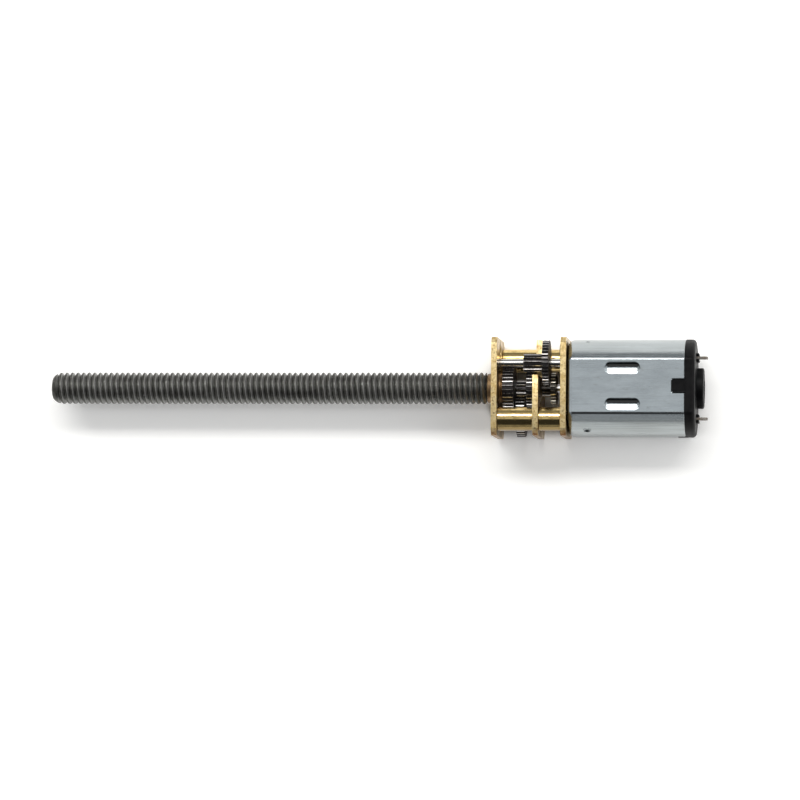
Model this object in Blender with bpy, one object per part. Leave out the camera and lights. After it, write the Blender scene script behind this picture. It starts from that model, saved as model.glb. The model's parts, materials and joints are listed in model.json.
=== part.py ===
"""Flat 12 mm gearmotor that drives a long M4 lead screw through four spur-gear stages.

Lengths are in millimetres until a mesh is made. x runs along the main axis from the outer face of the
front plate, towards the motor; y runs across the 12 mm width and z across the 10 mm depth.
"""
import math

import bmesh
import bpy
from mathutils import Vector
from mathutils.geometry import tessellate_polygon

MM = 0.001
GAP = 0.02  # clearance between pieces that seat against each other

# Envelope of the motor and of its plates
WIDTH = 12.0
DEPTH = 10.0
CORNER = 0.75
PLATE = 0.7
SCREW_TIP = -55.2
MIDDLE_PLATE_X = 5.05
REAR_PLATE_X = 8.44
CAN_X = REAR_PLATE_X + PLATE + GAP
CAN_END = 23.5
CAP_END = 24.75
BOSS_END = 25.68
TERMINAL_END = 26.13

# Lead screw, its journal, gear seat and stub
THREAD_RADIUS = 1.95
THREAD_ROOT = 1.54
PITCH = 0.7
TIP_CHAMFER = 0.45
THREAD_STEPS = 12
JOURNAL = 1.48
SEAT = 1.1
STUB = 0.45
BUSH_OUTER = 1.8
BUSH_FRONT = -0.85
BUSH_REAR = 0.86

# Gear train
MODULE = 0.15
PRESSURE_ANGLE = math.radians(20)
ADDENDUM = 1.0
WHEEL_ADDENDUM = 0.9
DEDENDUM = 1.25
THINNING = 0.03
MOTOR_TEETH = 12
WHEEL_1_TEETH, PINION_1_TEETH = 36, 13
WHEEL_2_TEETH, PINION_2_TEETH = 35, 11
WHEEL_3_TEETH, PINION_3_TEETH = 37, 10
OUTPUT_TEETH = 38
DISC_TEETH = 25

# Pins, pillars and screws, as (y, z) places about the main axis
UPPER_PIN = (2.95, 2.06)
LOWER_PIN = (-2.95, -2.06)
UPPER_PIN_RADIUS = 0.5
LOWER_PIN_RADIUS = 0.4
NEAR_PILLAR = (-3.95, 3.3)
FAR_PILLAR = (3.6, -3.3)
PILLAR_RADIUS = 1.45
SPIGOT_RADIUS = 0.8
HOLE_PLACES = (4.5, -4.5)
HOLE_RADIUS = 0.8
NOTCH_Y = 1.35
NOTCH_Z = -0.5
NOTCH_FILLET = 0.5

# Motor
WALL = 0.5
CAN_ROUNDING = 0.6
CAN_BOSS_RADIUS = 2.0
CAN_BOSS_X = 8.3
SHAFT = 0.5
BEARING = 1.5
CORE_RADIUS = 3.6
CORE_X = (11.9, 19.3)
MAGNET_X = (11.0, 20.0)
MAGNET_RADII = (4.0, 5.42)
MAGNET_ANGLE = math.radians(47)
COMMUTATOR_RADIUS = 1.1
COMMUTATOR_X = (20.6, 22.3)
POCKET_LENGTH, POCKET_WIDTH, POCKET_DEPTH = 4.35, 1.35, 0.25
POCKET_X = 16.0
POCKET_Y = 2.2
TAB_X = 22.0
TAB_WIDTH = 1.6
BOSS_RADIUS = 2.5
TERMINAL_Y = 3.73
TERMINAL_SIZE = (0.3, 1.6)

MIDDLE_X = (SCREW_TIP + TERMINAL_END) / 2
FRAME_COLLECTION = bpy.context.scene.collection


# ---------------------------------------------------------------- outlines in the y-z plane
def circle(radius, steps, centre=(0, 0)):
    turns = [2 * math.pi * i / steps for i in range(steps)]
    return [(centre[0] + radius * math.cos(a), centre[1] + radius * math.sin(a)) for a in turns]


def double_d(inset, steps=10):
    """The motor's outline: two arcs at +y and -y, joined by flats at +z and -z."""
    radius, half = WIDTH / 2 - inset, DEPTH / 2 - inset
    reach = math.asin(half / radius)
    arc = [reach * (2 * i / steps - 1) for i in range(steps + 1)]
    right = [(radius * math.cos(a), radius * math.sin(a)) for a in arc]
    return right + [(-y, -z) for y, z in right]


def chamfered_rectangle():
    y, z, c = WIDTH / 2, DEPTH / 2, CORNER
    quarter = [(y, z - c), (y - c, z)]
    other = [(-y + c, z), (-y, z - c)]
    return quarter + other + [(-a, -b) for a, b in quarter + other]


def notched_rectangle():
    """The middle plate's outline: a chamfered rectangle without its upper near part."""
    y, z, c = WIDTH / 2, DEPTH / 2, CORNER
    centre = (NOTCH_Y + NOTCH_FILLET, NOTCH_Z + NOTCH_FILLET)
    turns = [math.radians(270 - 90 * i / 4) for i in range(5)]
    fillet = [(centre[0] + NOTCH_FILLET * math.cos(a), centre[1] + NOTCH_FILLET * math.sin(a)) for a in turns]
    return [(y, -z + c), (y, NOTCH_Z)] + fillet + [
        (NOTCH_Y, z), (-y + c, z), (-y, z - c), (-y, -z + c), (-y + c, -z), (y - c, -z)]


def involute(angle):
    return math.tan(angle) - angle


def gear_outline(teeth, addendum):
    """A spur gear with the middle of one tooth at +y."""
    pitch_radius = MODULE * teeth / 2
    base = pitch_radius * math.cos(PRESSURE_ANGLE)
    half_tooth = math.pi / (2 * teeth) - THINNING / (2 * pitch_radius)

    def half_angle(radius):
        flank = involute(math.acos(min(1, base / radius)))
        return half_tooth + involute(PRESSURE_ANGLE) - flank

    radii = (pitch_radius - DEDENDUM * MODULE, pitch_radius, pitch_radius + addendum * MODULE)
    side = [(radius, half_angle(radius)) for radius in radii]
    points = []
    for tooth in range(teeth):
        middle = 2 * math.pi * tooth / teeth
        for radius, half in side:
            points.append((radius * math.cos(middle - half), radius * math.sin(middle - half)))
        for radius, half in reversed(side):
            points.append((radius * math.cos(middle + half), radius * math.sin(middle + half)))
    return points


def pole_outline():
    """Three T-shaped poles about a hub."""
    tip, under, hub, neck = CORE_RADIUS, CORE_RADIUS - 0.7, 1.15, 0.5
    reach = math.radians(50)
    points = []
    for pole in range(3):
        turn = 2 * math.pi * pole / 3
        foot = math.asin(neck / hub)
        shoulder = math.asin(neck / under)
        arc = [reach * (i / 4 - 1) for i in range(9)]
        polar = [(hub, -foot), (under, -shoulder), (under, -reach)]
        polar += [(tip, a) for a in arc]
        polar += [(under, reach), (under, shoulder), (hub, foot)]
        points += [(r * math.cos(turn + a), r * math.sin(turn + a)) for r, a in polar]
    return points


def rectangle(width, height, centre=(0, 0)):
    y, z = width / 2, height / 2
    return [(centre[0] + a * y, centre[1] + b * z) for a, b in ((1, -1), (1, 1), (-1, 1), (-1, -1))]


# ---------------------------------------------------------------- meshes
def ring(mesh, outline, x):
    return [mesh.verts.new((x, y, z)) for y, z in outline]


def skin(mesh, *rings):
    """Walls between rings that have the same number of points."""
    for first, second in zip(rings, rings[1:]):
        for i in range(len(first)):
            mesh.faces.new((first[i - 1], first[i], second[i], second[i - 1]))


def lid(mesh, *rings):
    """A flat face bounded by the first ring, with a hole at each of the others."""
    points = [vert for loop in rings for vert in loop]
    flat = [[Vector((0, vert.co.y, vert.co.z)) for vert in loop] for loop in rings]
    for triangle in tessellate_polygon(flat):
        mesh.faces.new([points[i] for i in triangle])


def prism(outline, start, end, holes=()):
    mesh = bmesh.new()
    fronts = [ring(mesh, loop, start) for loop in (outline, *holes)]
    backs = [ring(mesh, loop, end) for loop in (outline, *holes)]
    for front, back in zip(fronts, backs):
        skin(mesh, front, back)
    lid(mesh, *fronts)
    lid(mesh, *backs)
    return mesh


def turned(profile, steps=24):
    """A solid turned about the x axis from (x, radius) points that start and end on the axis."""
    mesh = bmesh.new()
    rings = [ring(mesh, circle(radius, steps), x) for x, radius in profile]
    skin(mesh, *rings)
    lid(mesh, rings[0])
    lid(mesh, rings[-1])
    return mesh


def sleeve(profile, steps=24):
    """A turned ring, from the closed loop of its (x, radius) section."""
    mesh = bmesh.new()
    rings = [ring(mesh, circle(radius, steps), x) for x, radius in profile]
    skin(mesh, *rings, rings[0])
    return mesh


def hubbed_gear(teeth, start, face_end, hub_radius, hub_end, bore):
    """A pinion whose hub carries the next wheel."""
    mesh = bmesh.new()
    outline = gear_outline(teeth, ADDENDUM)
    front, back = ring(mesh, outline, start), ring(mesh, outline, face_end)
    hub_front = ring(mesh, circle(hub_radius, 20), face_end)
    hub_back = ring(mesh, circle(hub_radius, 20), hub_end)
    bore_front = ring(mesh, circle(bore, 16), start)
    bore_back = ring(mesh, circle(bore, 16), hub_end)
    skin(mesh, front, back)
    skin(mesh, hub_front, hub_back)
    skin(mesh, bore_front, bore_back)
    lid(mesh, front, bore_front)
    lid(mesh, back, hub_front)
    lid(mesh, hub_back, bore_back)
    return mesh


def box(low, high):
    mesh = bmesh.new()
    front = ring(mesh, [(low[1], low[2]), (high[1], low[2]), (high[1], high[2]), (low[1], high[2])], low[0])
    back = ring(mesh, [(vert.co.y, vert.co.z) for vert in front], high[0])
    skin(mesh, front, back)
    lid(mesh, front)
    lid(mesh, back)
    return mesh


def plate_in_z(outline, low, high):
    """A flat piece cut from sheet: an outline of (x, y) points, thickened along z."""
    mesh = bmesh.new()
    bottom = [mesh.verts.new((x, y, low)) for x, y in outline]
    top = [mesh.verts.new((x, y, high)) for x, y in outline]
    skin(mesh, bottom, top)
    mesh.faces.new(bottom)
    mesh.faces.new(top)
    return mesh


# ---------------------------------------------------------------- materials and objects
def metal(name, colour, roughness, metallic=1.0):
    made = bpy.data.materials.new(name)
    made.use_nodes = True
    shader = made.node_tree.nodes["Principled BSDF"]
    shader.inputs["Base Color"].default_value = (*colour, 1)
    shader.inputs["Metallic"].default_value = metallic
    shader.inputs["Roughness"].default_value = roughness
    return made


def finish(mesh, name):
    """A millimetre bmesh becomes a metre mesh with its faces out and its round walls smooth."""
    bmesh.ops.scale(mesh, vec=(MM, MM, MM), verts=mesh.verts)
    bmesh.ops.recalc_face_normals(mesh, faces=mesh.faces)
    data = bpy.data.meshes.new(name)
    mesh.to_mesh(data)
    mesh.free()
    return data


def pivot(name, place=(0, 0), phase=0.0):
    """An empty on a turning axis, or on the main axis for the pieces that stay still."""
    made = bpy.data.objects.new(name, None)
    made.location = (-MIDDLE_X * MM, place[0] * MM, (DEPTH / 2 + place[1]) * MM)
    made.rotation_euler = (phase, 0, 0)
    FRAME_COLLECTION.objects.link(made)
    return made


def add(name, mesh, material, parent, phase=0.0):
    data = finish(mesh, name)
    data.materials.append(material)
    data.shade_smooth()
    data.set_sharp_from_angle(angle=math.radians(35))
    made = bpy.data.objects.new(name, data)
    made.parent = parent
    made.rotation_euler = (phase, 0, 0)
    FRAME_COLLECTION.objects.link(made)
    return made


def reshape(target, tool, operation):
    """Cut a tool out of a target, or join it on."""
    cutter = bpy.data.objects.new(tool.name, tool)
    cutter.parent = target.parent
    cutter.display_type = "WIRE"
    cutter.hide_render = True
    FRAME_COLLECTION.objects.link(cutter)
    modifier = target.modifiers.new(tool.name, "BOOLEAN")
    modifier.operation = operation
    modifier.solver = "EXACT"
    modifier.object = cutter


# ---------------------------------------------------------------- the gearbox's fixed pieces
def front_plate(material, frame):
    holes = [circle(BUSH_OUTER + GAP, 32)]
    holes += [circle(HOLE_RADIUS, 20, (y, 0)) for y in HOLE_PLACES]
    holes += [circle(SPIGOT_RADIUS + GAP, 20, place) for place in (NEAR_PILLAR, FAR_PILLAR)]
    holes += [circle(UPPER_PIN_RADIUS + GAP, 16, UPPER_PIN), circle(LOWER_PIN_RADIUS + GAP, 16, LOWER_PIN)]
    add("front_plate", prism(chamfered_rectangle(), 0, PLATE, holes), material, frame)


def middle_plate(material, frame):
    holes = [circle(STUB + GAP, 16), circle(LOWER_PIN_RADIUS + GAP, 16, LOWER_PIN)]
    holes += [circle(SPIGOT_RADIUS + GAP, 20, place) for place in (NEAR_PILLAR, FAR_PILLAR)]
    mesh = prism(notched_rectangle(), MIDDLE_PLATE_X, MIDDLE_PLATE_X + PLATE, holes)
    add("middle_plate", mesh, material, frame)


def rear_plate(material, frame):
    holes = [circle(CAN_BOSS_RADIUS + GAP, 32)]
    holes += [circle(HOLE_RADIUS + GAP, 20, (y, 0)) for y in HOLE_PLACES]
    holes += [circle(SPIGOT_RADIUS + GAP, 20, place) for place in (NEAR_PILLAR, FAR_PILLAR)]
    holes += [circle(UPPER_PIN_RADIUS + GAP, 16, UPPER_PIN), circle(LOWER_PIN_RADIUS + GAP, 16, LOWER_PIN)]
    mesh = prism(chamfered_rectangle(), REAR_PLATE_X, REAR_PLATE_X + PLATE, holes)
    add("rear_plate", mesh, material, frame)


def pillars(material, frame):
    """Each pillar is two posts, one on each side of the middle plate, with staked spigots."""
    middle_end = MIDDLE_PLATE_X + PLATE
    for name, place in (("near", NEAR_PILLAR), ("far", FAR_PILLAR)):
        axis = pivot(f"{name}_pillar_axis", place)
        front = [(0, SPIGOT_RADIUS), (PLATE + GAP, SPIGOT_RADIUS), (PLATE + GAP, PILLAR_RADIUS),
                 (MIDDLE_PLATE_X - GAP, PILLAR_RADIUS)]
        rear = [(MIDDLE_PLATE_X + GAP, SPIGOT_RADIUS), (middle_end + GAP, SPIGOT_RADIUS),
                (middle_end + GAP, PILLAR_RADIUS), (REAR_PLATE_X - GAP, PILLAR_RADIUS),
                (REAR_PLATE_X - GAP, SPIGOT_RADIUS), (REAR_PLATE_X + PLATE - GAP, SPIGOT_RADIUS)]
        add(f"{name}_pillar_front", turned(front), material, axis)
        add(f"{name}_pillar_rear", turned(rear), material, axis)


def gear_pins(material):
    """Two fixed pins that the compound gears turn on."""
    end = REAR_PLATE_X + PLATE - GAP
    for name, place, radius in (("upper", UPPER_PIN, UPPER_PIN_RADIUS), ("lower", LOWER_PIN, LOWER_PIN_RADIUS)):
        add(f"{name}_gear_pin", turned([(GAP, radius), (end, radius)], 16), material,
            pivot(f"{name}_pin_axis", place))


def motor_screws(material):
    """Low-head screws that hold the rear plate to the can."""
    head, under = REAR_PLATE_X - GAP - 0.4, REAR_PLATE_X - GAP
    for name, y in zip(("upper", "lower"), HOLE_PLACES):
        shank = HOLE_RADIUS - GAP
        profile = [(head, 1.1), (head + 0.12, 1.25), (under, 1.25), (under, shank), (10.2, shank)]
        add(f"{name}_motor_screw", turned(profile, 20), material, pivot(f"{name}_motor_screw_axis", (y, 0)))


def output_bush(material, frame):
    bore = JOURNAL + 2 * GAP
    chamfer = 0.1
    section = [(BUSH_FRONT, bore), (BUSH_FRONT, BUSH_OUTER - chamfer), (BUSH_FRONT + chamfer, BUSH_OUTER),
               (BUSH_REAR, BUSH_OUTER), (BUSH_REAR, bore)]
    add("output_bush", sleeve(section, 32), material, frame)


# ---------------------------------------------------------------- the turning pieces
def threaded_shaft():
    """The thread is a grid whose rows climb one pitch per turn, with crests and roots in turn."""
    mesh = bmesh.new()
    start, end = SCREW_TIP, BUSH_FRONT - 0.1
    rows = 2 * math.ceil((end - start) / PITCH) + 6
    columns = []
    for step in range(THREAD_STEPS):
        angle = 2 * math.pi * step / THREAD_STEPS
        column = []
        for row in range(rows):
            x = start + PITCH * (row / 2 - 1.5 + step / THREAD_STEPS)
            radius = THREAD_ROOT if row % 2 else THREAD_RADIUS
            x = min(max(x, start), end)
            radius = min(radius, THREAD_RADIUS - max(0, TIP_CHAMFER - (x - start)))
            radius = THREAD_ROOT if x == end else radius
            column.append(mesh.verts.new((x, radius * math.cos(angle), radius * math.sin(angle))))
        columns.append(column)
    for step in range(THREAD_STEPS):
        here, wraps = columns[step], step == THREAD_STEPS - 1
        there = columns[0][2:] if wraps else columns[step + 1]
        for row in range(len(there) - 1):
            mesh.faces.new((here[row], here[row + 1], there[row + 1], there[row]))
    mesh.faces.new([column[0] for column in columns])
    shoulder = [column[-1] for column in columns]
    journal_turn = circle(JOURNAL, 2 * THREAD_STEPS)
    journal = ring(mesh, journal_turn, end)
    for i, outer in enumerate(shoulder):
        onward = shoulder[(i + 1) % THREAD_STEPS]
        a, b, c = (journal[(2 * i + k) % (2 * THREAD_STEPS)] for k in range(3))
        mesh.faces.new((outer, a, b))
        mesh.faces.new((outer, b, onward))
        mesh.faces.new((onward, b, c))
    seat_x, stub_x, stub_end = 1.12, 2.55, MIDDLE_PLATE_X + PLATE - GAP
    profile = [(seat_x, JOURNAL), (seat_x, SEAT), (stub_x, SEAT), (stub_x, STUB), (stub_end, STUB)]
    rings = [ring(mesh, circle(radius, 2 * THREAD_STEPS), x) for x, radius in profile]
    skin(mesh, journal, *rings)
    lid(mesh, rings[-1])
    bmesh.ops.remove_doubles(mesh, verts=mesh.verts, dist=0.0005)
    bmesh.ops.dissolve_degenerate(mesh, edges=mesh.edges, dist=0.0005)
    return mesh


def wheel(teeth, start, end, bore, steps=20):
    return prism(gear_outline(teeth, WHEEL_ADDENDUM), start, end, [circle(bore, steps)])


def meshed_phase(driver_phase, driver_teeth, teeth, bearing):
    """The turn that puts a gear in mesh with its driver, which lies the other way along bearing."""
    return bearing + math.pi - (driver_teeth * (driver_phase - bearing) + math.pi) / teeth


def bearing_of(place):
    return math.atan2(place[1], place[0])


def output_group(steel, gear_steel, brass):
    output = pivot("output_axis")
    add("lead_screw", threaded_shaft(), steel, output)
    washer = [(0.9, JOURNAL + GAP), (0.9, 1.85), (1.1, 1.85), (1.1, JOURNAL + GAP)]
    add("output_washer", sleeve(washer), brass, output)
    phase = meshed_phase(0, PINION_3_TEETH, OUTPUT_TEETH, bearing_of(LOWER_PIN) + math.pi)
    add("output_gear", wheel(OUTPUT_TEETH, 1.14, 2.5, SEAT + GAP, 24), gear_steel, output, phase)


def compound_gears(gear_steel):
    """Three wheel-and-pinion pairs: on the upper pin, on the screw's stub and on the lower pin."""
    first, second, third = pivot("gear_1_axis", UPPER_PIN), pivot("gear_2_axis"), pivot("gear_3_axis", LOWER_PIN)
    upper, lower = bearing_of(UPPER_PIN), bearing_of(LOWER_PIN)
    add("gear_1_pinion", hubbed_gear(PINION_1_TEETH, 3.75, 6.13, 0.76, 6.95, UPPER_PIN_RADIUS + GAP),
        gear_steel, first)
    add("gear_1_wheel", wheel(WHEEL_1_TEETH, 6.15, 6.95, 0.76 + GAP), gear_steel, first,
        meshed_phase(0, MOTOR_TEETH, WHEEL_1_TEETH, upper))
    add("gear_2_pinion", hubbed_gear(PINION_2_TEETH, 2.7, 4.05, 0.61, 4.95, STUB + GAP), gear_steel, second)
    add("gear_2_wheel", wheel(WHEEL_2_TEETH, 4.07, 4.95, 0.61 + GAP), gear_steel, second,
        meshed_phase(0, PINION_1_TEETH, WHEEL_2_TEETH, upper + math.pi))
    add("gear_3_pinion", hubbed_gear(PINION_3_TEETH, 1.1, 2.58, 0.54, 3.7, LOWER_PIN_RADIUS + GAP),
        gear_steel, third)
    add("gear_3_wheel", wheel(WHEEL_3_TEETH, 2.6, 3.7, 0.54 + GAP), gear_steel, third,
        meshed_phase(0, PINION_2_TEETH, WHEEL_3_TEETH, lower))


def coil():
    """A winding: a rectangular loop around one pole's neck, standing along the pole."""
    mesh = bmesh.new()
    (low, high), inner, outer = CORE_X, 0.53, 1.3
    loops = []
    for y in (1.45, 2.35):
        for half, over in ((inner, 0.05), (outer, 0.7)):
            corners = ((low - over, -half), (high + over, -half), (high + over, half), (low - over, half))
            loops.append([mesh.verts.new((x, y, z)) for x, z in corners])
    bottom_inner, bottom_outer, top_inner, top_outer = loops
    skin(mesh, bottom_inner, bottom_outer, top_outer, top_inner, bottom_inner)
    return mesh


def rotor_group(steel, brass, core, copper):
    rotor = pivot("rotor_axis")
    add("motor_shaft", turned([(5.87, SHAFT), (25.2, SHAFT)], 16), steel, rotor)
    bore = [circle(SHAFT + GAP, 16)]
    add("motor_pinion", prism(gear_outline(MOTOR_TEETH, ADDENDUM), 5.85, 6.97, bore), steel, rotor)
    add("pinion_disc", prism(gear_outline(DISC_TEETH, ADDENDUM), 6.99, 7.65, bore), brass, rotor)
    add("rotor_core", prism(pole_outline(), *CORE_X, bore), core, rotor)
    for pole in range(3):
        add(f"winding_{pole + 1}", coil(), copper, rotor, 2 * math.pi * pole / 3)
    (start, end), inner = COMMUTATOR_X, SHAFT + GAP
    section = [(start, inner), (start, COMMUTATOR_RADIUS), (end, COMMUTATOR_RADIUS), (end, inner)]
    add("commutator", sleeve(section), copper, rotor)


# ---------------------------------------------------------------- the motor's fixed pieces
def stadium(length, width, centre):
    """A slot outline of (x, y) points."""
    radius, half = width / 2, (length - width) / 2
    end = [math.radians(180 * i / 6 - 90) for i in range(7)]
    right = [(half + radius * math.cos(a), radius * math.sin(a)) for a in end]
    return [(centre[0] + x, centre[1] + y) for x, y in right + [(-x, -y) for x, y in right]]


def motor_can(material, frame):
    mesh = bmesh.new()
    front_inner = CAN_X + WALL
    turn = [math.radians(90 * i / 3) for i in range(4)]
    outer = [ring(mesh, double_d(CAN_ROUNDING * (1 - math.sin(a))), CAN_X + CAN_ROUNDING * (1 - math.cos(a)))
             for a in turn]
    outer.append(ring(mesh, double_d(0), CAN_END))
    inner = [ring(mesh, double_d(WALL), x) for x in (CAN_END, front_inner)]
    skin(mesh, *outer, *inner)
    screw_holes = [[ring(mesh, circle(HOLE_RADIUS, 20, (y, 0)), x) for x in (CAN_X, front_inner)]
                   for y in HOLE_PLACES]
    for hole in screw_holes:
        skin(mesh, *hole)
    boss = [ring(mesh, circle(CAN_BOSS_RADIUS, 24), x) for x in (CAN_X, CAN_BOSS_X)]
    bore = [ring(mesh, circle(BEARING + GAP, 24), x) for x in (CAN_BOSS_X, front_inner)]
    skin(mesh, *boss, *bore)
    lid(mesh, outer[0], boss[0], *(hole[0] for hole in screw_holes))
    lid(mesh, inner[1], bore[1], *(hole[1] for hole in screw_holes))
    can = add("motor_can", mesh, material, frame)
    for side in (1, -1):
        face, floor = side * (DEPTH / 2 + 0.2), side * (DEPTH / 2 - POCKET_DEPTH)
        for y in (POCKET_Y, -POCKET_Y):
            outline = stadium(POCKET_LENGTH, POCKET_WIDTH, (POCKET_X, y))
            pocket = plate_in_z(outline, min(face, floor), max(face, floor))
            label = ("near" if side > 0 else "far") + ("_upper" if y > 0 else "_lower")
            reshape(can, finish(pocket, f"{label}_pocket_cutter"), "DIFFERENCE")
    half = TAB_WIDTH / 2
    notch = box((TAB_X, -half, DEPTH / 2 - WALL - 0.2), (CAN_END + 0.3, half, DEPTH / 2 + 0.2))
    reshape(can, finish(notch, "tab_notch_cutter"), "DIFFERENCE")
    low = box((TAB_X + 0.5, -WIDTH / 2 - 0.2, -half), (CAN_END + 0.3, -WIDTH / 2 + WALL + 0.2, half))
    reshape(can, finish(low, "key_notch_cutter"), "DIFFERENCE")


def end_cap(material, frame):
    mesh = bmesh.new()
    start, plug, floor = CAN_END + GAP, 22.8, 23.9
    edge = 0.2
    outside = [ring(mesh, double_d(0), start), ring(mesh, double_d(0), CAP_END - edge),
               ring(mesh, double_d(edge), CAP_END)]
    skin(mesh, *outside)
    plug_wall = [ring(mesh, double_d(WALL + 0.05), x) for x in (start, plug)]
    recess = [ring(mesh, double_d(WALL + 0.65), x) for x in (plug, floor)]
    skin(mesh, outside[0], *plug_wall, *recess)
    width, height = (size + 2 * GAP for size in TERMINAL_SIZE)
    slots = [[ring(mesh, rectangle(width, height, (y, 0)), x) for x in (floor, CAP_END)]
             for y in (TERMINAL_Y, -TERMINAL_Y)]
    for slot in slots:
        skin(mesh, *slot)
    boss = [ring(mesh, circle(BOSS_RADIUS, 28), CAP_END), ring(mesh, circle(BOSS_RADIUS, 28), BOSS_END - 0.15),
            ring(mesh, circle(BOSS_RADIUS - 0.15, 28), BOSS_END)]
    skin(mesh, *boss)
    pocket = [ring(mesh, circle(BEARING - 0.1 + GAP, 24), x) for x in (floor, BOSS_END - 0.4)]
    skin(mesh, *pocket)
    lid(mesh, outside[-1], boss[0], *(slot[1] for slot in slots))
    lid(mesh, boss[-1])
    lid(mesh, recess[-1], pocket[0], *(slot[0] for slot in slots))
    lid(mesh, pocket[-1])
    cap = add("end_cap", mesh, material, frame)
    half, deep = TAB_WIDTH / 2 - GAP, DEPTH / 2 - WALL - 0.2
    tab = box((TAB_X + GAP, -half, deep), (start + 0.2, half, DEPTH / 2 - 0.01))
    reshape(cap, finish(tab, "tab_block"), "UNION")
    key = box((TAB_X + 0.5 + GAP, -WIDTH / 2 + 0.01, -half), (start + 0.2, -WIDTH / 2 + WALL + 0.2, half))
    reshape(cap, finish(key, "key_block"), "UNION")


def bearings(material, frame):
    bore = SHAFT + GAP
    front = [(8.36, bore), (8.36, BEARING), (10.2, BEARING), (10.2, bore)]
    rear = [(23.95, bore), (23.95, BEARING - 0.1), (25.25, BEARING - 0.1), (25.25, bore)]
    add("front_bearing", sleeve(front), material, frame)
    add("rear_bearing", sleeve(rear), material, frame)


def magnets(material, frame):
    inner, outer = MAGNET_RADII
    arc = [MAGNET_ANGLE * (i / 5 - 1) for i in range(11)]
    for name, turn in (("upper", 0), ("lower", math.pi)):
        outline = [(outer * math.cos(turn + a), outer * math.sin(turn + a)) for a in arc]
        outline += [(inner * math.cos(turn + a), inner * math.sin(turn + a)) for a in reversed(arc)]
        add(f"{name}_magnet", prism(outline, *MAGNET_X), material, frame)


def terminals_and_brushes(tinned, copper, frame):
    """Each terminal strip passes out through the cap, and feeds a brush arm beside it."""
    width, height = TERMINAL_SIZE
    contact = COMMUTATOR_RADIUS + 0.05
    arm_start, arm_end = 3.3, TERMINAL_Y - width / 2 - GAP
    for name, side in (("upper", 1), ("lower", -1)):
        strip = prism(rectangle(width, height, (side * TERMINAL_Y, 0)), 23.0, TERMINAL_END)
        add(f"{name}_terminal", strip, tinned, frame)
        outline = [(21.0, contact), (21.7, contact), (21.7, contact + 0.3), (23.1, arm_start),
                   (23.85, arm_start), (23.85, arm_end), (22.9, arm_end), (21.0, contact + 0.5)]
        brush = plate_in_z([(x, side * y) for x, y in outline], -0.5, 0.5)
        add(f"{name}_brush", brush, copper, frame)


def main():
    for leftover in list(bpy.data.objects):
        bpy.data.objects.remove(leftover)
    plate_brass = metal("plate_brass", (0.72, 0.53, 0.22), 0.35)
    pillar_brass = metal("pillar_brass", (0.66, 0.46, 0.17), 0.25)
    bush_bronze = metal("bush_bronze", (0.55, 0.38, 0.16), 0.4)
    gear_steel = metal("gear_steel", (0.33, 0.31, 0.32), 0.35)
    pin_steel = metal("pin_steel", (0.68, 0.68, 0.7), 0.2)
    screw_steel = metal("screw_steel", (0.2, 0.21, 0.22), 0.35)
    can_zinc = metal("can_zinc", (0.58, 0.61, 0.63), 0.4)
    cap_plastic = metal("cap_plastic", (0.02, 0.02, 0.022), 0.5, 0.0)
    magnet_ferrite = metal("magnet_ferrite", (0.06, 0.06, 0.065), 0.7, 0.0)
    core_iron = metal("core_iron", (0.4, 0.4, 0.4), 0.5)
    copper = metal("winding_copper", (0.7, 0.3, 0.14), 0.35)
    tinned = metal("terminal_tinned", (0.6, 0.57, 0.5), 0.3)

    frame = pivot("frame_axis")
    front_plate(plate_brass, frame)
    middle_plate(plate_brass, frame)
    rear_plate(plate_brass, frame)
    pillars(pillar_brass, frame)
    gear_pins(pin_steel)
    motor_screws(screw_steel)
    output_bush(bush_bronze, frame)
    output_group(screw_steel, gear_steel, bush_bronze)
    compound_gears(gear_steel)
    rotor_group(pin_steel, bush_bronze, core_iron, copper)
    motor_can(can_zinc, frame)
    end_cap(cap_plastic, frame)
    bearings(bush_bronze, frame)
    magnets(magnet_ferrite, frame)
    terminals_and_brushes(tinned, copper, frame)


main()
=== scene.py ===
import json
import math

import bmesh
import bpy
from mathutils import Matrix, Vector
from mathutils.geometry import tessellate_polygon

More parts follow.
